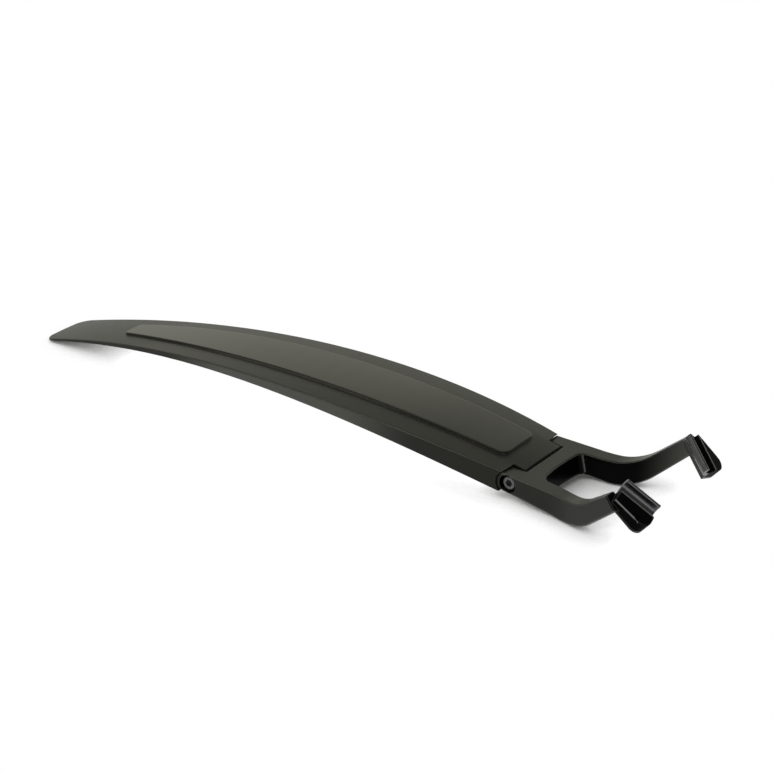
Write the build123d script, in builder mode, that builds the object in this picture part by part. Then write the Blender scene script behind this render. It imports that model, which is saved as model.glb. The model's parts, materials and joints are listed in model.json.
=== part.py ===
"""Clip-on mudguard for a bicycle saddle.

A long arched blade hinges on a forked bracket, and the two prongs of the bracket end in snap
clips for the rails of the saddle. Sizes are in millimetres. +X runs from the tip of the blade to
the clips, +Y is across and +Z is up. The part lies on a table at Z = 0, on the tip of the blade
and on the lower bends of the prongs.
"""
import os
from math import cos, radians, sin, sqrt, tan

from build123d import *

# Hinge: one cross bolt holds the tongue of the blade between the two knuckles of the bracket
hinge_x = 139.05
hinge_z = 11.3
hinge_half_width = 30.0
knuckle_radius = 7.4
knuckle_gap = 0.6
tongue_half_width = 19.6
tongue_side_gap = 0.5
tongue_radius = 8.0
tongue_recess_gap = 0.7
tongue_cheek = 5.0
tongue_skin = 2.2
blade_end_back = 3.0
hollow_back = 12.0
hinge_slope = 7.7

# Bolt and nut, M5
bolt_radius = 2.5
bolt_head_radius = 4.25
bolt_head_height = 5.0
bolt_end_chamfer = 0.6
socket_across_flats = 4.0
socket_depth = 2.6
head_recess_radius = 5.6
head_recess_depth = 6.4
nut_across_flats = 8.0
nut_height = 4.0
nut_recess_depth = 5.0
nut_recess_gap = 0.1
bolt_running_gap = 0.05
bolt_hole_gap = 0.1

# Blade: an arched, slightly cambered sheet with a turned-down rim
blade_length = 377.0
crown_back = 152.0
crown_height = 32.8
crown_radius = 826.0
camber_radius = 420.0
sheet = 2.2
rim_wall = 2.2
crease_fillet = 0.9
widest_back = 108.0
widest_half_width = 36.0
rear_back = 205.0
rear_half_width = 31.6
tip_half_width = 20.0
tip_corner = 9.0
rim_front_back = 7.0
rim_front_height = 5.7
rim_middle_back = 169.0
rim_middle_height = 25.2

# Raised panel along the middle of the blade
panel_rise = 1.5
panel_front_back = 10.5
panel_front_half_width = 16.8
panel_front_corner = 6.0
panel_widest_back = 120.0
panel_widest_half_width = 19.5
panel_rear_back = 314.0
panel_rear_half_width = 9.0
panel_rear_corner = 3.5
panel_fillet = 1.2

# Fork of the bracket, seen from the side
fork_top_rear_height = 17.7
fork_top_slope = 3.0
fork_top_bend_x = 49.5
fork_top_bend_radius = 32.0
prong_top_angle = 37.5
fork_bottom_bend_x = 38.5
fork_bottom_bend_radius = 34.0
prong_bottom_angle = 41.0

# Fork of the bracket, seen from above
fork_side_angle = 3.0
prong_outer_bend_x = 36.0
prong_outer_bend_radius = 60.0
prong_outer_angle = 21.0
opening_rear_x = 16.2
opening_rear_bow = 1.6
opening_rear_half_width = 20.6
opening_corner = 6.0
opening_side_angle = 6.0
prong_inner_bend_x = 38.0
prong_inner_bend_radius = 45.0
prong_inner_angle = 23.0
opening_lean = 12.0
fork_edge_chamfer = 0.7
fork_under_fillet = 2.5

# Rail clips
rail_radius = 3.5
groove_gap = 0.1
groove_x = 89.4
groove_half_spacing = 35.6
groove_z = 31.3
groove_length = 23.5
groove_descent = 38.0
groove_toe_in = 25.0
clip_wall = 2.2
lip_end_angle = 168.0
lip_bead_radius = 1.1
clip_depth = 10.0
wing_back = 1.9
wing_top_reach = 8.2
wing_reach = 13.2
wing_foot = 7.0
wing_corner = 6.0
wing_side_depth = 4.0
ridge_start = 0.4
wing_chamfer = 0.5
prong_end_depth = 7.0

tip_x = hinge_x - blade_length
crown_x = hinge_x - crown_back
arch_centre = (crown_x, 0, crown_height - crown_radius)
arch_axis = Axis(arch_centre, (0, 1, 0))
tall = 120.0
wide = 60.0
steep = 0.5
close = 0.01


def arch_slab(top_radius, depth):
    """A cambered slab that follows the arch of the blade, wider and longer than the blade."""
    lead = 20.0
    start = Plane(
        origin=arch_centre,
        x_dir=(0, 1, 0),
        z_dir=(cos(radians(lead)), 0, sin(radians(lead))),
    )
    sag = camber_radius - sqrt(camber_radius**2 - wide**2)
    bottom_radius = top_radius - depth
    with BuildPart() as slab:
        with BuildSketch(start):
            with BuildLine():
                top = ThreePointArc(
                    (-wide, top_radius - sag), (0, top_radius), (wide, top_radius - sag)
                )
                bottom = ThreePointArc(
                    (-wide, bottom_radius - sag), (0, bottom_radius), (wide, bottom_radius - sag)
                )
                Line(top @ 0, bottom @ 0)
                Line(top @ 1, bottom @ 1)
            make_face()
        revolve(axis=arch_axis, revolution_arc=2 * lead)
    return slab.part


def blade_outline(inset):
    """The plan of the blade from its tip to the hinge axis, drawn in by inset all round."""
    with BuildSketch() as outline:
        with BuildLine():
            side = Spline(
                (hinge_x, hinge_half_width - inset),
                (hinge_x - widest_back, widest_half_width - inset),
                (hinge_x - rear_back, rear_half_width - inset),
                (tip_x + tip_corner, tip_half_width - inset),
            )
            corner = TangentArc(
                side @ 1, (tip_x + inset, tip_half_width - tip_corner), tangent=side % 1
            )
            Line(corner @ 1, (tip_x + inset, 0))
            Line((hinge_x, 0), side @ 0)
            mirror(about=Plane.XZ)
        make_face()
    return outline.sketch


def panel_outline(inset):
    """The plan of the raised panel, drawn in by inset all round."""
    front = hinge_x - panel_front_back - inset
    rear = hinge_x - panel_rear_back + inset
    with BuildSketch() as outline:
        with BuildLine():
            side = Spline(
                (hinge_x - panel_front_back - panel_front_corner, panel_front_half_width - inset),
                (hinge_x - panel_widest_back, panel_widest_half_width - inset),
                (hinge_x - panel_rear_back + panel_rear_corner, panel_rear_half_width - inset),
            )
            near = TangentArc(
                side @ 0, (front, panel_front_half_width - panel_front_corner), tangent=-(side % 0)
            )
            far = TangentArc(
                side @ 1, (rear, panel_rear_half_width - panel_rear_corner), tangent=side % 1
            )
            Line(near @ 1, (front, 0))
            Line(far @ 1, (rear, 0))
            mirror(about=Plane.XZ)
        make_face()
    return outline.sketch


def hinge_circle_room(radius, start):
    """Space round the hinge axis beyond start on the -Y side, open towards +X."""
    with BuildPart() as room:
        with BuildSketch(Plane.XZ.offset(start)):
            with Locations((hinge_x, hinge_z)):
                Circle(radius)
            with Locations((hinge_x - blade_end_back, hinge_z)):
                Rectangle(wide, tall, align=(Align.MIN, Align.CENTER))
        extrude(amount=wide)
    return room.part


# Blade
with BuildPart() as hollow:
    add(arch_slab(crown_radius - sheet, tall / 2))
    extrude(blade_outline(rim_wall), amount=tall, mode=Mode.INTERSECT)
    split(bisect_by=Plane(origin=(hinge_x - hollow_back, 0, 0), z_dir=(-1, 0, 0)))

with BuildPart() as panel:
    add(arch_slab(crown_radius + panel_rise, panel_rise + sheet / 2))
    extrude(panel_outline(0), amount=tall, mode=Mode.INTERSECT)

with BuildPart() as panel_pocket:
    add(arch_slab(crown_radius + panel_rise - sheet, panel_rise + sheet / 2))
    extrude(panel_outline(sheet), amount=tall, mode=Mode.INTERSECT)

with BuildPart() as blade:
    add(arch_slab(crown_radius, tall / 2))
    with BuildSketch() as blade_plan:
        add(blade_outline(0))
        with Locations((hinge_x, 0)):
            Rectangle(2 * tongue_radius, 2 * tongue_half_width)
    extrude(amount=tall, mode=Mode.INTERSECT)
    crown = blade.faces().sort_by(Axis.Z)[-1]
    fillet(crown.edges().filter_by(lambda e: e.center().X < hinge_x - blade_end_back), crease_fillet)
    # Lower edge of the rim
    with BuildSketch(Plane.XZ):
        front = (hinge_x - rim_front_back, rim_front_height)
        past_hinge = wide
        drop = past_hinge * tan(radians(hinge_slope))
        with BuildLine():
            ThreePointArc(front, (hinge_x - rim_middle_back, rim_middle_height), (tip_x, 0))
            Polyline(
                (tip_x, 0),
                (tip_x - wide, 0),
                (tip_x - wide, -tall),
                (front[0] + past_hinge, -tall),
                (front[0] + past_hinge, front[1] - drop),
                front,
            )
        make_face()
    extrude(amount=wide, both=True, mode=Mode.SUBTRACT)
    add(hollow.part, mode=Mode.SUBTRACT)
    # Room for the knuckles of the bracket on both sides of the tongue
    knuckle_room = hinge_circle_room(knuckle_radius + knuckle_gap, tongue_half_width)
    add(knuckle_room, mode=Mode.SUBTRACT)
    add(knuckle_room.mirror(Plane.XZ), mode=Mode.SUBTRACT)
    # Round nose of the tongue
    with BuildSketch(Plane.XZ):
        with Locations((hinge_x, hinge_z)):
            Rectangle(wide, tall, align=(Align.MIN, Align.CENTER))
            Circle(tongue_radius, mode=Mode.SUBTRACT)
    extrude(amount=wide, both=True, mode=Mode.SUBTRACT)
    # Pocket under the tongue, between its two cheeks
    with BuildSketch(Plane.XZ):
        with Locations((hinge_x, hinge_z)):
            Circle(tongue_radius - tongue_skin)
            Rectangle(2 * (tongue_radius - tongue_skin), tall, align=(Align.CENTER, Align.MAX))
        with Locations((hinge_x, hinge_z + tongue_radius - tongue_skin)):
            Rectangle(hollow_back + rim_wall, tall, align=(Align.MAX, Align.MAX))
    extrude(amount=tongue_half_width - tongue_cheek, both=True, mode=Mode.SUBTRACT)
    with Locations((hinge_x, 0, hinge_z)):
        Cylinder(bolt_radius + bolt_running_gap, 2 * wide, rotation=(90, 0, 0), mode=Mode.SUBTRACT)
    add(panel.part)
    add(panel_pocket.part, mode=Mode.SUBTRACT)
    fillet(blade.faces().sort_by(Axis.Z)[-1].edges(), panel_fillet)

# Rail clip on the -Y prong
descent = radians(groove_descent)
toe_in = radians(groove_toe_in)
groove_axis = Vector(cos(descent) * cos(toe_in), cos(descent) * sin(toe_in), -sin(descent))
mouth_axis = Vector(sin(descent), 0, cos(descent) * cos(toe_in)).normalized()
outward_axis = groove_axis.cross(mouth_axis)
groove_centre = Vector(hinge_x + groove_x, -groove_half_spacing, groove_z)
groove_radius = rail_radius + groove_gap
clip_section = Plane(origin=groove_centre, x_dir=outward_axis, z_dir=-groove_axis)
clip_face = Plane(origin=groove_centre, x_dir=groove_axis, z_dir=mouth_axis)


def in_clip(along, out, up):
    """A point given along the groove, outwards and towards the mouth of the clip."""
    return groove_centre + groove_axis * along + outward_axis * out + mouth_axis * up


def on_wing_face(edge):
    """Whether an edge lies round the face of the wing beside the groove."""
    place = edge.center() - groove_centre
    across = abs((edge % 0.5).dot(mouth_axis)) < steep
    high = place.dot(mouth_axis) > -clip_depth / 2
    return across and high and place.dot(outward_axis) > groove_radius + ridge_start


half_groove = groove_length / 2
ridge_top = in_clip(-half_groove, groove_radius + ridge_start, 0)
ridge_low = in_clip(half_groove - wing_foot, wing_reach, -wing_back)
ridge_side = in_clip(-half_groove, wing_top_reach, -wing_side_depth)
ridge_normal = (ridge_low - ridge_top).cross(ridge_side - ridge_top)

with BuildPart() as clip:
    with BuildSketch(clip_section):
        with BuildLine():
            Polyline(
                (0, -clip_depth),
                (wing_reach, -clip_depth),
                (wing_reach, -wing_back),
                (groove_radius, 0),
                (0, 0),
                close=True,
            )
        make_face()
    extrude(amount=half_groove, both=True)
    with BuildSketch(clip_face) as wing:
        with BuildLine():
            Polyline(
                (-half_groove, 0),
                (-half_groove, -wing_top_reach),
                (half_groove - wing_foot, -wing_reach),
                (half_groove, -wing_reach),
                (half_groove, 0),
                close=True,
            )
        make_face()
        fillet(wing.vertices().group_by(Axis.X)[-1].sort_by(Axis.Y)[0], wing_corner)
    extrude(amount=2 * clip_depth, both=True, mode=Mode.INTERSECT)
    split(bisect_by=Plane(origin=ridge_top, z_dir=ridge_normal), keep=Keep.TOP)
    chamfer(clip.edges().filter_by(on_wing_face), wing_chamfer)
    # Inner wall of the groove
    with BuildSketch(clip_section):
        Circle(groove_radius + clip_wall)
        Rectangle(wide, wide, align=(Align.MIN, Align.CENTER), mode=Mode.SUBTRACT)
    extrude(amount=half_groove, both=True)
    # Groove and its mouth
    with BuildSketch(clip_section):
        Circle(groove_radius)
        with BuildLine():
            Polyline(
                (0, 0),
                (wide, 0),
                (wide, wide),
                (wide * cos(radians(lip_end_angle)), wide * sin(radians(lip_end_angle))),
                close=True,
            )
        make_face()
    extrude(amount=tall, both=True, mode=Mode.SUBTRACT)
    # Bead along the lip that the rail snaps past
    with BuildSketch(clip_section):
        with PolarLocations(groove_radius + lip_bead_radius, 1, start_angle=lip_end_angle):
            Circle(lip_bead_radius)
    extrude(amount=half_groove, both=True)

# Bracket
bottom_drop = radians(hinge_slope)
bottom_rise = radians(prong_bottom_angle)
bend_spread = 1 + cos(bottom_drop + bottom_rise)
bottom_corner = (
    hinge_x + fork_bottom_bend_x
    + fork_bottom_bend_radius * (sin(bottom_rise) - sin(bottom_drop)) / bend_spread,
    fork_bottom_bend_radius
    - fork_bottom_bend_radius * (cos(bottom_rise) + cos(bottom_drop)) / bend_spread,
)
fork_rear_x = hinge_x - knuckle_radius
bottom_rear = (
    fork_rear_x,
    bottom_corner[1] + (bottom_corner[0] - fork_rear_x) * tan(bottom_drop),
)
top_rear = (fork_rear_x, fork_top_rear_height)
top_corner = (
    hinge_x + fork_top_bend_x,
    fork_top_rear_height - (fork_top_bend_x + knuckle_radius) * tan(radians(fork_top_slope)),
)
prong_end = groove_centre - mouth_axis * prong_end_depth
end_slope = -mouth_axis.X / mouth_axis.Z


def prong_meets_end(corner, angle):
    """Where a line rising from corner at angle meets the sloping end face of the prong."""
    rise = tan(radians(angle))
    x = (prong_end.Z - corner[1] + rise * corner[0] - end_slope * prong_end.X) / (rise - end_slope)
    return (x, corner[1] + rise * (x - corner[0]))


def along(start, x, angle):
    """The point at x on a line in the plan that leaves start at angle to the X axis."""
    return (x, start[1] + (x - start[0]) * tan(radians(angle)))


def at_corner(sketch, corner):
    """The vertices of a sketch at corner and at its mirror image in the sketch's own X axis."""
    return sketch.vertices().filter_by(
        lambda v: abs(v.X - corner[0]) < close and abs(abs(v.Y) - abs(corner[1])) < close
    )


def rim_edges(faces):
    """The edges round a group of faces, without the edges that two of them share."""
    edges = [edge for face in faces for edge in face.edges()]
    return [edge for edge in edges if sum(edge.is_same(other) for other in edges) == 1]


def behind_end(edge):
    """Whether an edge lies behind the end faces of the prongs."""
    return (edge.center() - prong_end).dot(mouth_axis) < -fork_edge_chamfer


fork_front_x = hinge_x + groove_x
head_seat = hinge_half_width - head_recess_depth
nut_seat = hinge_half_width - nut_recess_depth

with BuildPart() as bracket:
    with BuildSketch(Plane.XZ) as fork_side:
        with BuildLine():
            Polyline(
                top_rear,
                top_corner,
                prong_meets_end(top_corner, prong_top_angle),
                prong_meets_end(bottom_corner, prong_bottom_angle),
                bottom_corner,
                bottom_rear,
                close=True,
            )
        make_face()
        fillet(at_corner(fork_side, top_corner), fork_top_bend_radius)
        fillet(at_corner(fork_side, bottom_corner), fork_bottom_bend_radius)
    extrude(amount=2 * wide, both=True)
    with BuildSketch() as fork_plan:
        with BuildLine():
            rear_side = (fork_rear_x, hinge_half_width)
            bend = along(rear_side, hinge_x + prong_outer_bend_x, fork_side_angle)
            front = along(bend, fork_front_x, prong_outer_angle)
            Polyline((fork_rear_x, 0), rear_side, bend, front, (fork_front_x, 0))
            mirror(about=Plane.XZ)
        make_face()
        fillet(at_corner(fork_plan, bend), prong_outer_bend_radius)
    extrude(amount=tall, both=True, mode=Mode.INTERSECT)
    # Opening between the prongs, with a leaning rear wall
    with BuildSketch(Plane.XY.offset(fork_top_rear_height)) as opening:
        with BuildLine():
            rear_corner = (hinge_x + opening_rear_x + opening_rear_bow, opening_rear_half_width)
            bend = along(rear_corner, hinge_x + prong_inner_bend_x, opening_side_angle)
            front = along(bend, fork_front_x + wide, prong_inner_angle)
            ThreePointArc(
                rear_corner, (hinge_x + opening_rear_x, 0), (rear_corner[0], -rear_corner[1])
            )
            Polyline(rear_corner, bend, front, (front[0], 0))
            mirror(about=Plane.XZ)
        make_face()
        fillet(at_corner(opening, rear_corner), opening_corner)
        fillet(at_corner(opening, bend), prong_inner_bend_radius)
    extrude(
        amount=tall, both=True, dir=(sin(radians(opening_lean)), 0, -cos(radians(opening_lean))),
        mode=Mode.SUBTRACT,
    )
    # Soft edges: slight on top, rounder along the outer lower edges
    upper = bracket.faces().filter_by(lambda face: face.normal_at().Z > steep)
    chamfer([e for e in rim_edges(upper) if e.center().X > hinge_x and behind_end(e)], fork_edge_chamfer)
    lower = bracket.faces().filter_by(lambda face: face.normal_at().Z < -steep)
    outer = [e for e in rim_edges(lower) if abs(e.center().Y) > hinge_half_width]
    fillet([e for e in outer if e.center().X > hinge_x and behind_end(e)], fork_under_fillet)
    # Round knuckles at the rear
    with BuildSketch(Plane.XZ):
        with Locations((hinge_x, hinge_z)):
            Rectangle(wide, tall, align=(Align.MAX, Align.CENTER))
            Circle(knuckle_radius, mode=Mode.SUBTRACT)
    extrude(amount=wide, both=True, mode=Mode.SUBTRACT)
    # Room for the tongue of the blade
    with BuildSketch(Plane.XZ):
        with Locations((hinge_x, hinge_z)):
            Rectangle(wide, tall, align=(Align.MAX, Align.CENTER))
            Circle(tongue_radius + tongue_recess_gap)
    extrude(amount=tongue_half_width + tongue_side_gap, both=True, mode=Mode.SUBTRACT)
    add(clip.part)
    add(clip.part.mirror(Plane.XZ))
    # Holes for the bolt, its head and its nut
    with Locations((hinge_x, 0, hinge_z)):
        Cylinder(bolt_radius + bolt_hole_gap, 2 * wide, rotation=(90, 0, 0), mode=Mode.SUBTRACT)
    with BuildSketch(Plane.XZ.offset(head_seat)):
        with Locations((hinge_x, hinge_z)):
            Circle(head_recess_radius)
    extrude(amount=wide, mode=Mode.SUBTRACT)
    with BuildSketch(Plane.XZ.offset(-nut_seat)):
        with Locations((hinge_x, hinge_z)):
            RegularPolygon(nut_across_flats / 2 + nut_recess_gap, 6, major_radius=False)
    extrude(amount=-wide, mode=Mode.SUBTRACT)

# Bolt, with its head on the -Y side
with BuildPart() as bolt:
    with BuildSketch(Plane.XZ.offset(head_seat)):
        with Locations((hinge_x, hinge_z)):
            Circle(bolt_head_radius)
    extrude(amount=bolt_head_height)
    chamfer(bolt.edges().sort_by(Axis.Y)[0], bolt_end_chamfer)
    with BuildSketch(Plane.XZ.offset(head_seat)):
        with Locations((hinge_x, hinge_z)):
            Circle(bolt_radius)
    extrude(amount=-(head_seat + nut_seat + nut_height))
    chamfer(bolt.edges().sort_by(Axis.Y)[-1], bolt_end_chamfer)
    with BuildSketch(Plane.XZ.offset(head_seat + bolt_head_height)):
        with Locations((hinge_x, hinge_z)):
            RegularPolygon(socket_across_flats / 2, 6, major_radius=False)
    extrude(amount=-socket_depth, mode=Mode.SUBTRACT)

# Nut, seated in the +Y knuckle
with BuildPart() as nut:
    with BuildSketch(Plane.XZ.offset(-nut_seat)):
        with Locations((hinge_x, hinge_z)):
            RegularPolygon(nut_across_flats / 2, 6, major_radius=False)
            Circle(bolt_radius, mode=Mode.SUBTRACT)
    extrude(amount=-nut_height)

os.makedirs("parts", exist_ok=True)
blade.part.label = "mudguard_blade"
export_step(blade.part, "parts/mudguard_blade.step")
bracket.part.label = "saddle_bracket"
export_step(bracket.part, "parts/saddle_bracket.step")
bolt.part.label = "hinge_bolt"
export_step(bolt.part, "parts/hinge_bolt.step")
nut.part.label = "hinge_nut"
export_step(nut.part, "parts/hinge_nut.step")
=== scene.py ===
"""Looks of a clip-on bicycle mudguard.

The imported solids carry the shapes. This script gives each of them its finish, and sets the table,
the light and the camera of the picture.
Lengths are in metres. +X runs from the tip of the blade to the rail clips and +Z is up.
"""
from __future__ import annotations

import json
import logging
from abc import ABC, abstractmethod
from dataclasses import dataclass, field
from enum import Enum
from math import cos, radians, sin
from typing import Any, Sequence

import bpy
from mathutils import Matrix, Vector

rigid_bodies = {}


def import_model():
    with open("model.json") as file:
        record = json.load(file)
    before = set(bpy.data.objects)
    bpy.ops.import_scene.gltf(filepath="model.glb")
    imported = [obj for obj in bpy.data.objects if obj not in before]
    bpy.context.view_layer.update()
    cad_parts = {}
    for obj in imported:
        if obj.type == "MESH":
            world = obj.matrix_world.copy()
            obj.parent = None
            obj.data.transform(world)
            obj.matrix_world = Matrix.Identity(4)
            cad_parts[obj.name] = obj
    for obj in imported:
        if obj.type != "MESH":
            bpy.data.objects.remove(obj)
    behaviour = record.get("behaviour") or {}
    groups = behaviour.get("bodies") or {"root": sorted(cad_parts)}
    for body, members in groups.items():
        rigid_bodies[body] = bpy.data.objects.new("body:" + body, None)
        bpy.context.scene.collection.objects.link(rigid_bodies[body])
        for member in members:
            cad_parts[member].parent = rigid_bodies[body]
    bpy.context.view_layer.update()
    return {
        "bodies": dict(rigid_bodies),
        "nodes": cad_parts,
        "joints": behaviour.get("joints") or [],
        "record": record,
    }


log = logging.getLogger("mudguard")

Colour = tuple[float, float, float]
Point = tuple[float, float, float]

# X of the hinge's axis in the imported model
HINGE_X = 0.13905


class Node(Enum):
    """The solids of the part, by the names they were packed under."""

    BLADE = "mudguard_blade"
    BRACKET = "saddle_bracket"
    BOLT = "hinge_bolt"
    NUT = "hinge_nut"


class Sight(Enum):
    """The kinds of ray that the table and the surroundings tell apart."""

    CAMERA = "Is Camera Ray"
    GLOSSY = "Is Glossy Ray"
    TRANSMISSION = "Is Transmission Ray"


@dataclass
class Shading:
    """A node tree under construction, with short ways to add nodes and wires.

    Attributes:
        tree: The tree.
    """

    tree: bpy.types.NodeTree

    @classmethod
    def material(cls, name: str) -> tuple[bpy.types.Material, Shading, bpy.types.Node]:
        """Starts a material with one principled shader.

        Args:
            name: The material's name.

        Returns:
            The material, its tree and the principled shader.
        """
        made = bpy.data.materials.new(name)
        made.use_nodes = True
        shading = cls(made.node_tree)
        shader = made.node_tree.nodes["Principled BSDF"]
        return made, shading, shader

    def node(self, kind: str, settings: dict[str, Any] | None = None, **inputs: Any) -> bpy.types.Node:
        """Adds a node.

        Args:
            kind: The node's type name.
            settings: Properties of the node itself.
            inputs: Values or sockets for its inputs, with underscores for the spaces in their names.

        Returns:
            The new node.
        """
        made = self.tree.nodes.new(kind)
        for key, value in (settings or {}).items():
            setattr(made, key, value)
        for key, value in inputs.items():
            self.feed(made.inputs[key.replace("_", " ")], value)
        return made

    def feed(self, socket: bpy.types.NodeSocket, value: Any) -> None:
        """Wires or sets an input.

        Args:
            socket: The input.
            value: An output socket to wire to it, or a plain value.
        """
        if isinstance(value, bpy.types.NodeSocket):
            self.tree.links.new(value, socket)
        else:
            socket.default_value = value

    def maths(self, operation: str, *values: Any, clamp: bool = False) -> bpy.types.NodeSocket:
        """Adds a maths node.

        Args:
            operation: Its operation.
            values: Its inputs in order, sockets or numbers.
            clamp: Whether the result is held between 0 and 1.

        Returns:
            Its result.
        """
        made = self.node("ShaderNodeMath", {"operation": operation, "use_clamp": clamp})
        for socket, value in zip(made.inputs, values):
            self.feed(socket, value)
        return made.outputs[0]

    def facing(self, vector: bpy.types.NodeSocket, towards: Point) -> bpy.types.NodeSocket:
        """Measures how far a vector points one way.

        Args:
            vector: The vector.
            towards: The direction.

        Returns:
            Their dot product.
        """
        made = self.node("ShaderNodeVectorMath", {"operation": "DOT_PRODUCT"})
        self.feed(made.inputs[0], vector)
        made.inputs[1].default_value = towards
        return made.outputs["Value"]

    def ramp(self, value: bpy.types.NodeSocket, low: float, high: float) -> bpy.types.NodeSocket:
        """Turns a value into a soft step.

        Args:
            value: The value.
            low: Where the step starts.
            high: Where it ends.

        Returns:
            0 below low, 1 above high, and a smooth rise between them.
        """
        made = self.node("ShaderNodeMapRange", {"interpolation_type": "SMOOTHSTEP"}, Value=value)
        made.inputs["From Min"].default_value = low
        made.inputs["From Max"].default_value = high
        return made.outputs["Result"]

    def between(self, factor: bpy.types.NodeSocket, first: Any, second: Any) -> bpy.types.NodeSocket:
        """Mixes two numbers.

        Args:
            factor: 0 for the first and 1 for the second.
            first: A number or socket.
            second: A number or socket.

        Returns:
            The mixed number.
        """
        made = self.node("ShaderNodeMix", {"data_type": "FLOAT"})
        for index, value in ((0, factor), (2, first), (3, second)):
            self.feed(made.inputs[index], value)
        return made.outputs[0]

    def blend(self, factor: bpy.types.NodeSocket, first: Any, second: Any) -> bpy.types.NodeSocket:
        """Mixes two colours.

        Args:
            factor: 0 for the first and 1 for the second.
            first: A colour or socket.
            second: A colour or socket.

        Returns:
            The mixed colour.
        """
        made = self.node("ShaderNodeMix", {"data_type": "RGBA"})
        colours = [socket for socket in made.inputs if socket.type == "RGBA"]
        self.feed(made.inputs[0], factor)
        for socket, value in zip(colours, (first, second)):
            self.feed(socket, (*value, 1.0) if isinstance(value, tuple) else value)
        return next(socket for socket in made.outputs if socket.type == "RGBA")


@dataclass(frozen=True)
class MouldedPlastic:
    """Dark plastic with a fine spark-eroded grain on its show faces and a smooth shine elsewhere.

    Attributes:
        name: The material's name.
        colour: Colour of the grained faces.
        fleck: Colour of the raised points of the grain.
        roughness: Roughness of the grained faces.
        specular: Strength of their shine, where 0.5 is plain plastic.
        grain: Size of the grain.
        depth: Depth of the grain.
        pits: Share of the grain's pits, beside its speckle.
        points: Heights of the grain between which a raised point begins.
        point_share: How much the raised points count, beside the drift.
        drift: How often the tone drifts along the surface, per metre.
        clouds: Values of the drift between which it turns to the fleck's colour.
        fleck_share: How much of the fleck's colour shows.
        wander: How far the roughness wanders with the drift.
        sheen: Tint of the light that the plastic reflects.
        edge: Radius of the edges as they look.
        edge_turn: Turns of the edge between which it is rubbed, as one less the cosine.
        edge_drift: Values of the drift between which a rubbed edge shows.
        rubbed_colour: Colour of the edges where handling has rubbed them.
    """

    name: str
    colour: Colour = (0.0066, 0.0066, 0.0055)
    fleck: Colour = (0.015, 0.015, 0.013)
    roughness: float = 0.42
    specular: float = 0.5
    grain: float = 0.0007
    depth: float = 0.00009
    pits: float = 0.45
    points: tuple[float, float] = (0.55, 0.95)
    point_share: float = 0.5
    drift: float = 22.0
    clouds: tuple[float, float] = (0.3, 0.8)
    fleck_share: float = 0.7
    wander: float = 0.08
    sheen: Colour = (1.0, 0.99, 0.85)
    edge: float = 0.0005
    edge_turn: tuple[float, float] = (0.012, 0.1)
    edge_drift: tuple[float, float] = (0.2, 0.7)
    rubbed_colour: Colour = (0.035, 0.035, 0.031)

    def make(self, patches: Sequence[Patch] = ()) -> bpy.types.Material:
        """Makes the material.

        Args:
            patches: The faces that look different, each laid over the ones before.

        Returns:
            The material.
        """
        made, shading, shader = Shading.material(self.name)
        place = shading.node("ShaderNodeTexCoord").outputs["Object"]
        speckle = shading.node(
            "ShaderNodeTexNoise", Vector=place, Scale=1.0 / self.grain, Detail=3.0, Roughness=0.62
        ).outputs["Fac"]
        pits = shading.node(
            "ShaderNodeTexVoronoi", {"feature": "SMOOTH_F1"}, Vector=place, Scale=0.8 / self.grain
        ).outputs["Distance"]
        grain = shading.maths("MULTIPLY_ADD", pits, self.pits, speckle)
        drift = shading.node(
            "ShaderNodeTexNoise", Vector=place, Scale=self.drift, Detail=2.0, Roughness=0.5
        ).outputs["Fac"]
        points, clouds = shading.ramp(grain, *self.points), shading.ramp(drift, *self.clouds)
        flecked = shading.maths("MULTIPLY_ADD", points, self.point_share, clouds)
        flecked = shading.maths("MULTIPLY", flecked, self.fleck_share, clamp=True)
        colour = shading.blend(flecked, self.colour, self.fleck)
        smoothest = self.roughness - 0.5 * self.wander
        roughness = shading.maths("MULTIPLY_ADD", drift, self.wander, smoothest)
        height, shine, tint, bare = grain, self.specular, self.sheen, self.rubbed_colour
        for patch in patches:
            there = patch.zone.mask(shading)
            colour = shading.blend(there, colour, patch.colour)
            roughness = shading.between(there, roughness, patch.roughness)
            shine = shading.between(there, shine, patch.specular)
            if patch.sheen:
                tint = shading.blend(there, tint, patch.sheen)
            if patch.smooth:
                height = shading.between(there, height, 0.5)
            bare = shading.blend(there, bare, patch.rubbed_colour)
        rounded = shading.node("ShaderNodeBevel", {"samples": 6}, Radius=self.edge).outputs["Normal"]
        sharp = shading.node("ShaderNodeNewGeometry").outputs["Normal"]
        turn = shading.node("ShaderNodeVectorMath", {"operation": "DOT_PRODUCT"})
        shading.feed(turn.inputs[0], rounded)
        shading.feed(turn.inputs[1], sharp)
        turned = shading.maths("SUBTRACT", 1.0, turn.outputs["Value"])
        rubbed = shading.ramp(turned, *self.edge_turn)
        patchy = shading.maths("MULTIPLY", rubbed, shading.ramp(drift, *self.edge_drift))
        bump = shading.node(
            "ShaderNodeBump", Strength=0.75, Distance=self.depth, Height=height, Normal=rounded
        )
        shading.feed(shader.inputs["Base Color"], shading.blend(patchy, colour, bare))
        shading.feed(shader.inputs["Roughness"], roughness)
        shading.feed(shader.inputs["Specular IOR Level"], shine)
        shading.feed(shader.inputs["Normal"], bump.outputs["Normal"])
        shader.inputs["IOR"].default_value = 1.49
        tint = (*tint, 1.0) if isinstance(tint, tuple) else tint
        shading.feed(shader.inputs["Specular Tint"], tint)
        return made


class Zone(ABC):
    """Some of the faces of a piece, picked out by where they lie and how they face."""

    @abstractmethod
    def mask(self, shading: Shading) -> bpy.types.NodeSocket:
        """Builds the mask.

        Args:
            shading: The tree to build it in.

        Returns:
            1 on these faces and 0 elsewhere.
        """


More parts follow.
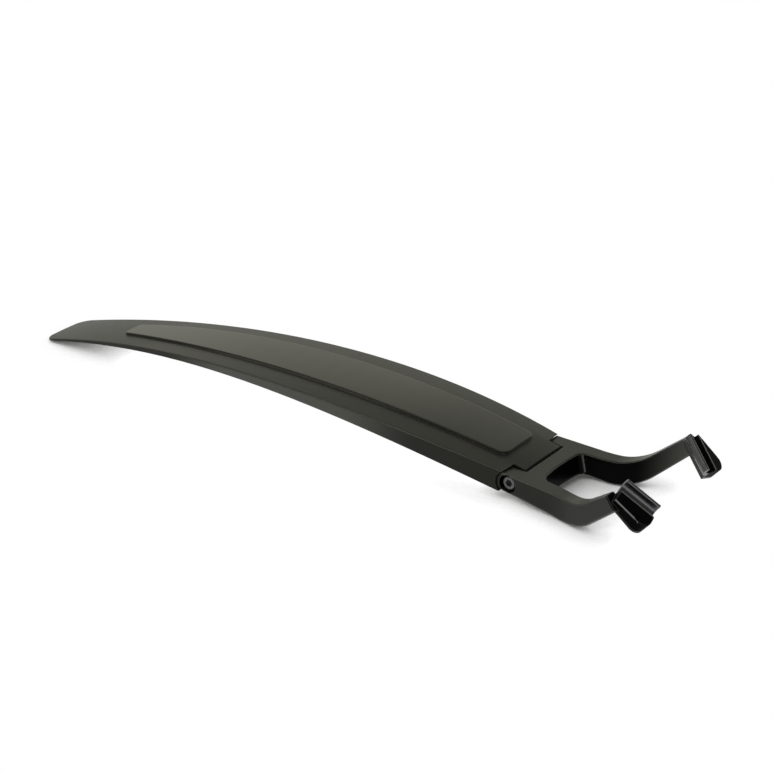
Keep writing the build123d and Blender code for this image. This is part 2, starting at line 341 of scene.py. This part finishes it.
@dataclass(frozen=True)
class RaisedPanel(Zone):
    """The panel that stands proud of the blade, from some height on its edge upwards.

    Attributes:
        centre: Centre of the blade's arch.
        radius: Radius of the arch at the middle of the blade.
        camber: Radius of the blade's camber.
        limits: Heights above the blade between which the mask rises.
    """

    centre: Point
    radius: float
    camber: float
    limits: tuple[float, float]

    def mask(self, shading: Shading) -> bpy.types.NodeSocket:
        """Builds the mask.

        Args:
            shading: The tree to build it in.

        Returns:
            1 on the panel and 0 elsewhere.
        """
        place = shading.node("ShaderNodeTexCoord").outputs["Object"]
        spot = shading.node("ShaderNodeVectorMath", {"operation": "SUBTRACT"})
        shading.feed(spot.inputs[0], place)
        spot.inputs[1].default_value = self.centre
        flat = shading.node("ShaderNodeVectorMath", {"operation": "MULTIPLY"})
        shading.feed(flat.inputs[0], spot.outputs["Vector"])
        flat.inputs[1].default_value = (1.0, 0.0, 1.0)
        reach = shading.node("ShaderNodeVectorMath", {"operation": "LENGTH"})
        shading.feed(reach.inputs[0], flat.outputs["Vector"])
        y = shading.facing(place, (0.0, 1.0, 0.0))
        sag = shading.maths("DIVIDE", shading.maths("MULTIPLY", y, y), 2.0 * self.camber)
        proud = shading.maths("SUBTRACT", shading.maths("ADD", reach.outputs["Value"], sag), self.radius)
        return shading.ramp(proud, *self.limits)


@dataclass(frozen=True)
class RailClips(Zone):
    """Both rail clips, beyond the ends of the prongs.

    Attributes:
        start: A point where the clips start.
        mouth: The way the mouths of the clips point.
        soft: Width over which the mask rises there.
    """

    start: Point
    mouth: Point
    soft: float = field(default=0.0006, kw_only=True)

    def mask(self, shading: Shading) -> bpy.types.NodeSocket:
        """Builds the mask.

        Args:
            shading: The tree to build it in.

        Returns:
            1 on the clips and 0 elsewhere.
        """
        place = shading.node("ShaderNodeTexCoord").outputs["Object"]
        level = Vector(self.start).dot(Vector(self.mouth))
        past_end = shading.maths("SUBTRACT", shading.facing(place, self.mouth), level)
        return shading.ramp(past_end, 0.0, self.soft)


@dataclass(frozen=True)
class ClipBand(RailClips):
    """A band along each clip, between two lines that run along its groove.

    Attributes:
        groove: A point on the groove's axis in the +Y clip.
        outward: The way across that clip from its groove to its wing.
        inner: Where the band begins, measured outwards from the axis.
        outer: Where it ends.
        line_soft: Width over which the mask rises at either line.
    """

    groove: Point
    outward: Point
    inner: float
    outer: float
    line_soft: float = field(default=0.0002, kw_only=True)

    def mask(self, shading: Shading) -> bpy.types.NodeSocket:
        """Builds the mask.

        Args:
            shading: The tree to build it in.

        Returns:
            1 in the band and 0 elsewhere.
        """
        place = shading.node("ShaderNodeTexCoord").outputs["Object"]
        folded = shading.node("ShaderNodeVectorMath", {"operation": "ABSOLUTE"})
        shading.feed(folded.inputs[0], place)
        axis = Vector(self.groove).dot(Vector(self.outward))
        out = shading.maths("SUBTRACT", shading.facing(folded.outputs["Vector"], self.outward), axis)
        past_outer = shading.ramp(out, self.outer, self.outer + self.line_soft)
        inside = shading.maths("SUBTRACT", 1.0, past_outer)
        past_inner = shading.ramp(out, self.inner - self.line_soft, self.inner)
        band = shading.maths("MULTIPLY", past_inner, inside)
        return shading.maths("MULTIPLY", super().mask(shading), band)


@dataclass(frozen=True)
class FacesOneWay(Zone):
    """The faces that look one way on the +Y half of a piece, or the mirrored way on the other.

    Attributes:
        way: The way they look.
        spread: How far from it they may turn, in degrees.
        full: Part of that spread within which the mask is full.
    """

    way: Point
    spread: float
    full: float = 0.6

    def mask(self, shading: Shading) -> bpy.types.NodeSocket:
        """Builds the mask.

        Args:
            shading: The tree to build it in.

        Returns:
            1 on those faces and 0 elsewhere.
        """
        source = shading.node("ShaderNodeTexCoord")
        side = shading.maths("SIGN", shading.facing(source.outputs["Object"], (0.0, 1.0, 0.0)))
        x, y, z = self.way
        level = shading.facing(source.outputs["Normal"], (x, 0.0, z))
        across = shading.facing(source.outputs["Normal"], (0.0, y, 0.0))
        turned = shading.maths("MULTIPLY_ADD", across, side, level)
        outer, inner = cos(radians(self.spread)), cos(radians(self.full * self.spread))
        return shading.ramp(turned, outer, inner)


@dataclass(frozen=True)
class HingeGap(Zone):
    """The round nose of the blade's tongue and its long edges, down in the gap of the hinge, for painted
    shade.

    Attributes:
        nose: X where the nose dips into the gap.
        side: X where the edges of the tongue begin.
        half_width: Half the width between those edges.
        soft: Length over which the mask rises at the nose and where the edges begin.
        edge_soft: Width over which it rises at the edges.
    """

    nose: float
    side: float
    half_width: float
    soft: float = 0.0007
    edge_soft: float = 0.0005

    def mask(self, shading: Shading) -> bpy.types.NodeSocket:
        """Builds the mask.

        Args:
            shading: The tree to build it in.

        Returns:
            1 in the gap and 0 elsewhere.
        """
        place = shading.node("ShaderNodeTexCoord").outputs["Object"]
        x = shading.facing(place, (1.0, 0.0, 0.0))
        off_middle = shading.maths("ABSOLUTE", shading.facing(place, (0.0, 1.0, 0.0)))
        edge = shading.ramp(off_middle, self.half_width - self.edge_soft, self.half_width)
        sides = shading.maths("MULTIPLY", edge, shading.ramp(x, self.side, self.side + self.soft))
        return shading.maths("MAXIMUM", sides, shading.ramp(x, self.nose, self.nose + self.soft))


@dataclass(frozen=True)
class Tongue(Zone):
    """The middle of a piece from some place on along its length.

    Attributes:
        start: X where it begins.
        half_width: Half its width.
        start_fade: Length over which the mask rises up to its beginning.
        side_fade: How far the mask fades on either side of its long edges.
    """

    start: float
    half_width: float
    start_fade: float = 0.05
    side_fade: float = 0.004

    def mask(self, shading: Shading) -> bpy.types.NodeSocket:
        """Builds the mask.

        Args:
            shading: The tree to build it in.

        Returns:
            1 on the tongue and 0 elsewhere.
        """
        place = shading.node("ShaderNodeTexCoord").outputs["Object"]
        off_middle = shading.maths("ABSOLUTE", shading.facing(place, (0.0, 1.0, 0.0)))
        outside, within = self.half_width + self.side_fade, self.half_width - self.side_fade
        inside = shading.ramp(off_middle, outside, within)
        x = shading.facing(place, (1.0, 0.0, 0.0))
        start = shading.ramp(x, self.start - self.start_fade, self.start)
        return shading.maths("MULTIPLY", inside, start)


@dataclass(frozen=True)
class Stretch(Zone):
    """A stretch of a piece's length.

    Attributes:
        limits: X where it begins and where it ends.
        fade: How far it fades beyond them.
    """

    limits: tuple[float, float]
    fade: float

    def mask(self, shading: Shading) -> bpy.types.NodeSocket:
        """Builds the mask.

        Args:
            shading: The tree to build it in.

        Returns:
            1 on the stretch and 0 far from it.
        """
        x = shading.facing(shading.node("ShaderNodeTexCoord").outputs["Object"], (1.0, 0.0, 0.0))
        start, end = self.limits
        rise, fall = shading.ramp(x, start - self.fade, start), shading.ramp(x, end + self.fade, end)
        return shading.maths("MULTIPLY", rise, fall)


@dataclass(frozen=True)
class InnerFaces(Zone):
    """The faces of the fork that look into its opening, over one stretch of its length.

    Attributes:
        gone: X where the mask has faded out.
        full: X where it is full, on either side of that.
        rear_wall: Whether the rear wall of the opening counts too.
        turns: Cosines of the turn from facing inwards between which the mask rises.
    """

    gone: float
    full: float
    rear_wall: bool = False
    turns: tuple[float, float] = (0.6, 0.8)

    def mask(self, shading: Shading) -> bpy.types.NodeSocket:
        """Builds the mask.

        Args:
            shading: The tree to build it in.

        Returns:
            1 on the inner faces and 0 elsewhere.
        """
        source = shading.node("ShaderNodeTexCoord")
        place, normal = source.outputs["Object"], source.outputs["Normal"]
        side = shading.maths("SIGN", shading.facing(place, (0.0, 1.0, 0.0)))
        looks_in = shading.maths("MULTIPLY", side, shading.facing(normal, (0.0, -1.0, 0.0)))
        if self.rear_wall:
            looks_in = shading.maths("MAXIMUM", looks_in, shading.facing(normal, (1.0, 0.0, 0.0)))
        stretch = shading.ramp(shading.facing(place, (1.0, 0.0, 0.0)), self.gone, self.full)
        return shading.maths("MULTIPLY", shading.ramp(looks_in, *self.turns), stretch)


@dataclass(frozen=True)
class Both(Zone):
    """The faces that two zones share.

    Attributes:
        first: One of the zones.
        second: The other.
    """

    first: Zone
    second: Zone

    def mask(self, shading: Shading) -> bpy.types.NodeSocket:
        """Builds the mask.

        Args:
            shading: The tree to build it in.

        Returns:
            1 where both zones lie and 0 elsewhere.
        """
        return shading.maths("MULTIPLY", self.first.mask(shading), self.second.mask(shading))


@dataclass(frozen=True)
class Patch:
    """Some faces of a piece and how they differ from the rest.

    Attributes:
        zone: The faces.
        colour: Their colour.
        roughness: Their roughness.
        specular: Strength of their shine.
        sheen: Tint of the light that they reflect, or None where it is the plastic's own.
        rubbed_colour: Colour of their rubbed edges.
        smooth: Whether they are smooth and not grained.
    """

    zone: Zone
    colour: Colour
    roughness: float
    specular: float
    sheen: Colour | None = None
    rubbed_colour: Colour = (0.02, 0.02, 0.018)
    smooth: bool = True


@dataclass(frozen=True)
class TurnedSteel:
    """Steel of the hinge's bolt or nut.

    Attributes:
        name: The material's name.
        colour: Colour of the steel.
        worn: Colour of the rubbed patches.
        metallic: How metallic it looks.
        roughness: Its roughness.
        wander: How far its roughness wanders.
        wear: Values of the turning marks between which the rubbed patches begin.
        marks: How often the turning marks come round the axis, per metre.
        mark_stretch: How many times as often they come along it.
        depth: Depth of the marks.
    """

    name: str
    colour: Colour
    worn: Colour
    metallic: float
    roughness: float
    wander: float = 0.2
    wear: tuple[float, float] = (0.45, 0.75)
    marks: float = 900.0
    mark_stretch: float = 6.0
    depth: float = 0.00003

    def make(self) -> bpy.types.Material:
        """Makes the material.

        Returns:
            The material.
        """
        made, shading, shader = Shading.material(self.name)
        place = shading.node("ShaderNodeTexCoord").outputs["Object"]
        stretched = shading.node(
            "ShaderNodeMapping", Vector=place, Scale=(1.0, self.mark_stretch, 1.0)
        ).outputs["Vector"]
        turning = shading.node(
            "ShaderNodeTexNoise", Vector=stretched, Scale=self.marks, Detail=4.0, Roughness=0.6
        ).outputs["Fac"]
        colour = shading.blend(shading.ramp(turning, *self.wear), self.colour, self.worn)
        bump = shading.node("ShaderNodeBump", Strength=0.25, Distance=self.depth, Height=turning)
        shading.feed(shader.inputs["Base Color"], colour)
        smoothest = self.roughness - 0.5 * self.wander
        roughness = shading.maths("MULTIPLY_ADD", turning, self.wander, smoothest)
        shading.feed(shader.inputs["Roughness"], roughness)
        shading.feed(shader.inputs["Normal"], bump.outputs["Normal"])
        shader.inputs["Metallic"].default_value = self.metallic
        return made


@dataclass
class Solid:
    """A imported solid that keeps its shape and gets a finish.

    Attributes:
        node: Which solid it is.
    """

    node: Node

    def dress(self, frame: dict[str, Any], finish: bpy.types.Material) -> None:
        """Gives the solid its finish.

        Args:
            frame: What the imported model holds.
            finish: The material.
        """
        shown = frame["nodes"][self.node.value]
        shown.data.materials.clear()
        shown.data.materials.append(finish)
        log.info("%s wears %s", self.node.value, finish.name)


@dataclass
class Blade(Solid):
    """The arched blade, grained on top and at its rim.

    Attributes:
        node: Which solid it is.
        hinge_x: X of the hinge.
        crown_back: How far behind the hinge the arch is highest.
        crown_height: Height of the arch there.
        crown_radius: Radius of the arch.
        camber_radius: Radius of the camber across the blade.
        panel_rise: How far the panel stands proud.
        panel_foot: Parts of that rise between which the panel's sloping edge begins, darkened as painted
            shade.
        panel_top: Parts of that rise between which its top begins, smoother and lighter in colour as a
            painted sheen.
        panel_end: X of the stretch by the hinge where the panel is duller.
        panel_fade: How far that stretch fades.
        panel_tip: X of the stretch by the tip where the panel's colour is lighter still, a painted
            highlight.
        panel_tip_fade: How far that stretch fades.
        nose_start: How far past the hinge the nose of the tongue dips into the gap.
        tongue_back: How far behind the hinge the tongue begins.
        tongue_half_width: Half the width of the tongue.
        side_spread: How far the sides of the rim may turn from facing sideways, in degrees.
        rim_highlight_stretch: X of the stretch where the rim is lighter in colour, a painted highlight.
        rim_fade: How far that stretch fades.
        tip_dull: X of the stretch at the tip that is duller.
        tip_fade: How far that stretch fades.
        painted_sheen: Colour of the panel's top, lighter than the rest as a painted sheen on its
            smoother finish.
        tip_painted_highlight: The panel's colour by the tip, lighter as a painted highlight.
        slope_painted_shade: Colour of the panel's sloping edge, darkened as painted shade.
        rim: Colour of the rim along that stretch, lighter as a painted highlight.
        gap: Colour of the faces down in the gap of the hinge, near black as painted shade.
        plastic: The finish of all the rest.
    """

    node: Node = Node.BLADE
    hinge_x: float = HINGE_X
    crown_back: float = 0.152
    crown_height: float = 0.0328
    crown_radius: float = 0.826
    camber_radius: float = 0.42
    panel_rise: float = 0.0015
    panel_foot: tuple[float, float] = (0.2, 0.5)
    panel_top: tuple[float, float] = (0.85, 0.99)
    panel_end: tuple[float, float] = (0.1, 0.15)
    panel_fade: float = 0.07
    panel_tip: tuple[float, float] = (-0.25, -0.14)
    panel_tip_fade: float = 0.09
    nose_start: float = 0.0046
    tongue_back: float = 0.0035
    tongue_half_width: float = 0.019
    side_spread: float = 35.0
    rim_highlight_stretch: tuple[float, float] = (-0.065, 0.02)
    rim_fade: float = 0.06
    tip_dull: tuple[float, float] = (-0.25, -0.18)
    tip_fade: float = 0.06
    painted_sheen: Colour = (0.0145, 0.0145, 0.0125)
    tip_painted_highlight: Colour = (0.03, 0.03, 0.0265)
    slope_painted_shade: Colour = (0.003, 0.003, 0.0025)
    rim: Colour = (0.013, 0.013, 0.0112)
    gap: Colour = (0.001, 0.001, 0.001)
    plastic: MouldedPlastic = field(default_factory=lambda: MouldedPlastic("blade_plastic"))

    def build(self, frame: dict[str, Any]) -> None:
        """Dresses the blade.

        Args:
            frame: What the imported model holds.
        """
        centre = self.hinge_x - self.crown_back, 0.0, self.crown_height - self.crown_radius
        arch = centre, self.crown_radius, self.camber_radius
        foot, top = (
            RaisedPanel(*arch, tuple(self.panel_rise * part for part in parts))
            for parts in (self.panel_foot, self.panel_top)
        )
        dull_end = Both(top, Stretch(self.panel_end, self.panel_fade))
        painted_tip_highlight = Both(top, Stretch(self.panel_tip, self.panel_tip_fade))
        tongue_start = self.hinge_x - self.tongue_back
        tongue = Tongue(tongue_start, self.tongue_half_width)
        painted_gap_shade = HingeGap(self.hinge_x + self.nose_start, tongue_start, self.tongue_half_width)
        sides = FacesOneWay((0.0, 1.0, 0.0), self.side_spread)
        rim_painted_highlight = Both(sides, Stretch(self.rim_highlight_stretch, self.rim_fade))
        dull_tip = Stretch(self.tip_dull, self.tip_fade)
        plain, painted_sheen = self.plastic.colour, self.painted_sheen
        patches = [
            Patch(dull_tip, plain, roughness=0.45, specular=0.4, smooth=False),
            Patch(sides, plain, roughness=0.45, specular=0.15, smooth=False),
            Patch(tongue, plain, roughness=0.42, specular=0.36, smooth=False),
            # The panel's sloping edge is darkened: painted shade.
            Patch(foot, self.slope_painted_shade, roughness=0.45, specular=0.15),
            # The panel's top is lighter in colour than the rest of the blade: a painted sheen on a
            # smoother finish.
            Patch(top, painted_sheen, roughness=0.42, specular=0.95, rubbed_colour=painted_sheen),
            # Lighter colour on the panel by the tip: a painted highlight.
            Patch(painted_tip_highlight, self.tip_painted_highlight, roughness=0.42, specular=1.0, rubbed_colour=painted_sheen),
            # By the hinge the panel keeps the painted sheen's colour but shines less.
            Patch(dull_end, painted_sheen, roughness=0.42, specular=0.66, rubbed_colour=painted_sheen),
            # The rim is lighter along a stretch of the blade: a painted highlight.
            Patch(rim_painted_highlight, self.rim, roughness=0.4, specular=0.5),
            # Near black down in the gap of the hinge: painted shade.
            Patch(painted_gap_shade, self.gap, roughness=0.5, specular=0.04),
        ]
        self.dress(frame, self.plastic.make(patches))


@dataclass
class Bracket(Solid):
    """The forked bracket with its rail clips.

    Attributes:
        node: Which solid it is.
        hinge_x: X of the hinge.
        groove: A point on the axis of the +Y clip's groove, from the hinge.
        groove_descent: How steeply the groove runs down, in degrees.
        groove_toe_in: How far it turns inwards, in degrees.
        clip_depth: How far below the groove's axis the clip's dark finish begins.
        ridge_out: How far out from the axis the scuffed ridge ends.
        ridge_depth: Width of that ridge, and how far below the axis it begins.
        wing_edge: The way the scuffed edge of the wing looks: along the groove, outwards, up.
        wing_edge_spread: How far that edge may turn from it, in degrees.
        clip_inner: Where the clip begins on its inner side, measured outwards from the axis.
        groove_shine: Where the shine of the groove ends, measured the same way.
        lip_out: Where the lip ends, measured the same way.
        corner_way: The way the corners of the opening look, where the painted highlight goes.
        corner_spread: How far those corners may turn from it, in degrees.
        side_spread: How far the outer sides may turn from facing sideways, in degrees.
        polished_to: How far past the hinge the inside of the fork is fully smooth and darkened as
            painted shade.
        grained_from: How far past the hinge that smoothness has gone.
        ends_from: How far past the hinge the inside is fully a lighter grey.
        black: Colour of the clips.
        groove_sheen: Tint of the light that their grooves reflect.
        clip_line_highlight: Colour of the painted highlight lines along their ridges and edges.
        lip_painted_highlight: Colour of their lips, lighter as a painted highlight.
        inside_painted_shade: Colour of the smooth faces deep inside the fork, near black as painted
            shade.
        inside_end_grey: Colour of the faces inside it toward the ends of the prongs, a lighter grey.
        corner_highlight: Colour of the corners of the opening, light grey as a painted highlight.
        corner_sheen: Tint of the light that those corners reflect.
        plastic: The finish of all the rest.
    """

    node: Node = Node.BRACKET
    hinge_x: float = HINGE_X
    groove: Point = (0.0894, 0.0356, 0.0313)
    groove_descent: float = 38.0
    groove_toe_in: float = 25.0
    clip_depth: float = 0.0088
    ridge_out: float = 0.0041
    ridge_depth: float = 0.0006
    wing_edge: Point = (-0.312, 0.873, 0.375)
    wing_edge_spread: float = 12.0
    clip_inner: float = -0.03
    groove_shine: float = 0.0005
    lip_out: float = -0.0028
    corner_way: Point = (0.629, -0.749, 0.134)
    corner_spread: float = 11.0
    side_spread: float = 50.0
    polished_to: float = 0.05
    grained_from: float = 0.084
    ends_from: float = 0.098
    black: Colour = (0.002, 0.002, 0.0023)
    groove_sheen: Colour = (0.96, 0.95, 1.0)
    clip_line_highlight: Colour = (0.12, 0.12, 0.115)
    lip_painted_highlight: Colour = (0.04, 0.04, 0.038)
    inside_painted_shade: Colour = (0.0012, 0.0012, 0.0016)
    inside_end_grey: Colour = (0.018, 0.018, 0.0165)
    corner_highlight: Colour = (0.12, 0.12, 0.122)
    corner_sheen: Colour = (1.0, 1.0, 1.0)
    plastic: MouldedPlastic = field(
        default_factory=lambda: MouldedPlastic("bracket_plastic", specular=0.44)
    )

    def build(self, frame: dict[str, Any]) -> None:
        """Dresses the bracket.

        Args:
            frame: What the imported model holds.
        """
        descent, toe_in = radians(self.groove_descent), radians(self.groove_toe_in)
        run = Vector((cos(descent) * cos(toe_in), -cos(descent) * sin(toe_in), -sin(descent)))
        mouth = Vector((sin(descent), 0.0, cos(descent) * cos(toe_in))).normalized()
        outward = mouth.cross(run)
        groove = Vector(self.groove) + Vector((self.hinge_x, 0.0, 0.0))
        clips = RailClips(tuple(groove - mouth * self.clip_depth), tuple(mouth))
        upper = tuple(groove - mouth * self.ridge_depth)
        across = tuple(groove), tuple(outward)
        grooves = ClipBand(clips.start, clips.mouth, *across, self.clip_inner, self.groove_shine)
        lips = ClipBand(clips.start, clips.mouth, *across, self.clip_inner, self.lip_out)
        ridge_in = self.ridge_out - self.ridge_depth
        ridges = ClipBand(upper, clips.mouth, *across, ridge_in, self.ridge_out)
        x, y, z = self.wing_edge
        edges = FacesOneWay(tuple(run * x + outward * y + mouth * z), self.wing_edge_spread)
        smooth_to, grained, ends_by = (
            self.hinge_x + past for past in (self.polished_to, self.grained_from, self.ends_from)
        )
        smooth_shaded_inside = InnerFaces(grained, smooth_to, rear_wall=True)
        corners = Both(smooth_shaded_inside, FacesOneWay(self.corner_way, self.corner_spread))
        inside_ends = InnerFaces(smooth_to, ends_by)
        sides = FacesOneWay((0.0, 1.0, 0.0), self.side_spread)
        # The clips' rubbed-looking edges are coloured with that painted highlight.
        worn = {"rubbed_colour": self.clip_line_highlight}
        patches = [
            Patch(sides, self.plastic.colour, roughness=0.45, specular=0.15, smooth=False),
            # Inside the fork the faces turn a lighter grey toward the ends of the prongs.
            Patch(inside_ends, self.inside_end_grey, roughness=0.42, specular=0.6),
            # Deep inside the fork the smooth faces are near black and barely shine: painted shade.
            Patch(smooth_shaded_inside, self.inside_painted_shade, roughness=0.2, specular=0.02),
            # A light grey line in the corners of the opening: a painted highlight.
            Patch(corners, self.corner_highlight, roughness=0.3, specular=1.0, sheen=self.corner_sheen),
            Patch(clips, self.black, roughness=0.4, specular=0.01, **worn),
            Patch(grooves, self.black, roughness=0.38, specular=1.0, sheen=self.groove_sheen, **worn),
            # The clips' lips are lighter: a painted highlight.
            Patch(Both(lips, inside_ends), self.lip_painted_highlight, roughness=0.35, specular=0.6),
            # Light lines along the ridges and wing edges of the clips: painted highlights.
            Patch(ridges, self.clip_line_highlight, roughness=0.4, specular=0.5, **worn),
            Patch(Both(clips, edges), self.clip_line_highlight, roughness=0.4, specular=0.5, **worn),
        ]
        self.dress(frame, self.plastic.make(patches))


@dataclass
class HingeHardware:
    """The cross bolt of the hinge and its nut.

    Attributes:
        bolt: The bolt.
        nut: The nut.
        black: Finish of the bolt.
        zinc: Finish of the nut.
    """

    bolt: Solid = field(default_factory=lambda: Solid(Node.BOLT))
    nut: Solid = field(default_factory=lambda: Solid(Node.NUT))
    black: TurnedSteel = TurnedSteel(
        "bolt_black_steel", (0.06, 0.06, 0.061), (0.14, 0.14, 0.14), metallic=0.6, roughness=0.36
    )
    zinc: TurnedSteel = TurnedSteel(
        "nut_zinc_steel", (0.5, 0.5, 0.49), (0.62, 0.62, 0.6), metallic=1.0, roughness=0.36
    )

    def build(self, frame: dict[str, Any]) -> None:
        """Dresses the bolt and the nut.

        Args:
            frame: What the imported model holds.
        """
        self.bolt.dress(frame, self.black.make())
        self.nut.dress(frame, self.zinc.make())


@dataclass(frozen=True)
class SoftBox:
    """A soft rectangular lamp.

    Attributes:
        name: Its name.
        place: Where it hangs.
        aim: What it points at.
        size: Its width and height.
        power: Its power in watts.
    """

    name: str
    place: Point
    aim: Point
    size: tuple[float, float]
    power: float

    def hang(self) -> None:
        """Hangs the lamp."""
        light = bpy.data.lights.new(self.name, "AREA")
        light.shape = "RECTANGLE"
        light.size, light.size_y = self.size
        light.energy = self.power
        box = bpy.data.objects.new(self.name, light)
        bpy.context.scene.collection.objects.link(box)
        box.location = self.place
        way = Vector(self.aim) - Vector(self.place)
        box.rotation_euler = way.to_track_quat("-Z", "Y").to_euler()


@dataclass
class Studio:
    """The white table and sweep, the soft light and the camera.

    Attributes:
        table_size: Side of the table.
        table_colour: Colour of the table.
        table_glow: Strength of the table's own white, as shiny faces see it.
        contact_reach: How far from the table the part still dulls that white.
        contact_depth: How strongly it dulls it.
        fork_opening: Middle of the table that shows through the fork, where extra shade is painted.
        fork_fade: Distances from there over which that painted shade fades.
        fork_reach: How far from the table the fork dulls the white there.
        fork_depth: How strongly it dulls it.
        ambient: Strength of the light from all round.
        foot: Strength of the foot of the sweep, as shiny faces see it.
        horizon: Strength of the sweep above its foot.
        overhead: Strength of the sweep overhead and behind the camera, as shiny faces see it.
        dawn: Sines of the heights between which the sweep brightens above its foot.
        dusk: Sines of the heights between which the sweep fades from white to that strength.
        near_side: Cosines from the camera's side between which it fades to that strength too.
        sweep_tone: Tone of the sweep, as shiny faces see it.
        camera_side: The way from the part to the camera, in plan.
        camera_place: Where the camera stands.
        camera_turn: Its turn about the vertical, in degrees.
        camera_dip: How far it looks down, in degrees.
        camera_lens: Its focal length in millimetres on a 36 mm wide sensor.
        lamps: The soft lamps.
    """

    table_size: float = 8.0
    table_colour: Colour = (0.86, 0.86, 0.855)
    table_glow: float = 0.74
    contact_reach: float = 0.014
    contact_depth: float = 1.2
    fork_opening: Point = (0.174, 0.0, 0.0)
    fork_fade: tuple[float, float] = (0.008, 0.042)
    fork_reach: float = 0.06
    fork_depth: float = 5.0
    ambient: float = 0.3
    foot: float = 0.7
    horizon: float = 1.46
    overhead: float = 0.1
    dawn: tuple[float, float] = (0.08, 0.42)
    dusk: tuple[float, float] = (0.16, 0.8)
    near_side: tuple[float, float] = (-0.1, 0.6)
    sweep_tone: Colour = (1.0, 0.995, 0.88)
    camera_side: Point = (0.588, -0.809, 0.0)
    camera_place: Point = (0.74272, -0.97937, 0.59578)
    camera_turn: float = 36.0
    camera_dip: float = 24.95
    camera_lens: float = 102.92
    lamps: tuple[SoftBox, ...] = (
        SoftBox("top_box", (0.1, -0.35, 1.5), (0.0, 0.0, 0.0), (1.8, 1.4), 4.5),
        SoftBox("left_box", (-0.57, -0.96, 1.08), (0.15, 0.0, 0.02), (0.9, 0.9), 10.0),
        SoftBox("right_box", (1.2, -1.05, 0.32), (0.2, 0.0, 0.02), (0.5, 0.6), 4.5),
    )

    def table(self) -> None:
        """Lays the table, a white sheet that hides nothing except where the part shades it."""
        bpy.ops.object.select_all(action="DESELECT")
        bpy.ops.mesh.primitive_plane_add(size=self.table_size)
        top = bpy.context.active_object
        top.name = "table_top"
        made, shading, shader = Shading.material("table_white")
        shader.inputs["Base Color"].default_value = (*self.table_colour, 1.0)
        shader.inputs["Roughness"].default_value = 0.9
        shader.inputs["Specular IOR Level"].default_value = 0.1
        shader.inputs["Emission Color"].default_value = (1.0, 1.0, 1.0, 1.0)
        path = shading.node("ShaderNodeLightPath")
        # Round the fork's opening the contact shade reaches further and runs deeper than elsewhere:
        # painted shade on top of the real occlusion.
        apart = shading.node("ShaderNodeVectorMath", {"operation": "DISTANCE"})
        shading.feed(apart.inputs[0], shading.node("ShaderNodeTexCoord").outputs["Object"])
        apart.inputs[1].default_value = self.fork_opening
        away = shading.ramp(apart.outputs["Value"], *self.fork_fade)
        reach = shading.between(away, self.fork_reach, self.contact_reach)
        depth = shading.between(away, self.fork_depth, self.contact_depth)
        clear = shading.node("ShaderNodeAmbientOcclusion", {"samples": 16}, Distance=reach)
        unshaded = shading.maths("POWER", clear.outputs["AO"], depth)
        mirrored = shading.maths(
            "MAXIMUM", path.outputs[Sight.GLOSSY.value], path.outputs[Sight.TRANSMISSION.value]
        )
        glow = shading.maths("MULTIPLY", mirrored, self.table_glow)
        shading.feed(shader.inputs["Emission Strength"], glow)
        glass = shading.node("ShaderNodeBsdfTransparent").outputs["BSDF"]
        lit_from_below = shading.maths("MULTIPLY", path.outputs[Sight.CAMERA.value], unshaded)
        sheet = shading.node("ShaderNodeMixShader", Fac=lit_from_below)
        shading.feed(sheet.inputs[1], shader.outputs["BSDF"])
        shading.feed(sheet.inputs[2], glass)
        shading.feed(made.node_tree.nodes["Material Output"].inputs["Surface"], sheet.outputs["Shader"])
        top.data.materials.append(made)

    def world(self) -> None:
        """Sets the white surroundings."""
        made = bpy.data.worlds.new("white_sweep")
        bpy.context.scene.world = made
        made.use_nodes = True
        shading = Shading(made.node_tree)
        backdrop = made.node_tree.nodes["Background"]
        way = shading.node("ShaderNodeTexCoord").outputs["Generated"]
        rise = shading.facing(way, (0.0, 0.0, 1.0))
        height = shading.ramp(rise, *self.dusk)
        near = shading.ramp(shading.facing(way, self.camera_side), *self.near_side)
        sweep = shading.between(shading.ramp(rise, *self.dawn), self.foot, self.horizon)
        shine = shading.between(shading.maths("MAXIMUM", height, near), sweep, self.overhead)
        path = shading.node("ShaderNodeLightPath")
        tone = shading.blend(path.outputs[Sight.GLOSSY.value], (1.0, 1.0, 1.0), self.sweep_tone)
        shading.feed(backdrop.inputs["Color"], tone)
        plain = shading.between(path.outputs[Sight.GLOSSY.value], self.ambient, shine)
        clear = shading.maths(
            "MAXIMUM", path.outputs[Sight.CAMERA.value], path.outputs[Sight.TRANSMISSION.value]
        )
        shading.feed(backdrop.inputs["Strength"], shading.between(clear, plain, 1.0))

    def camera(self) -> None:
        """Sets the camera at the photograph's angle."""
        data = bpy.data.cameras.new("camera")
        data.sensor_fit = "HORIZONTAL"
        data.sensor_width = 36.0
        data.lens = self.camera_lens
        data.clip_start = 0.01
        made = bpy.data.objects.new("camera", data)
        bpy.context.scene.collection.objects.link(made)
        made.location = self.camera_place
        made.rotation_euler = (radians(90.0 - self.camera_dip), 0.0, radians(self.camera_turn))
        bpy.context.scene.camera = made

    def build(self) -> None:
        """Sets up the whole studio."""
        self.table()
        self.world()
        for lamp in self.lamps:
            lamp.hang()
        self.camera()
        bpy.context.scene.view_settings.view_transform = "Standard"
        log.info("studio set")


def main() -> None:
    """Builds the part and its studio."""
    logging.basicConfig(level=logging.INFO, format="%(name)s: %(message)s")
    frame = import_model()
    Blade().build(frame)
    Bracket().build(frame)
    HingeHardware().build(frame)
    Studio().build()


if __name__ == "__main__":
    main()
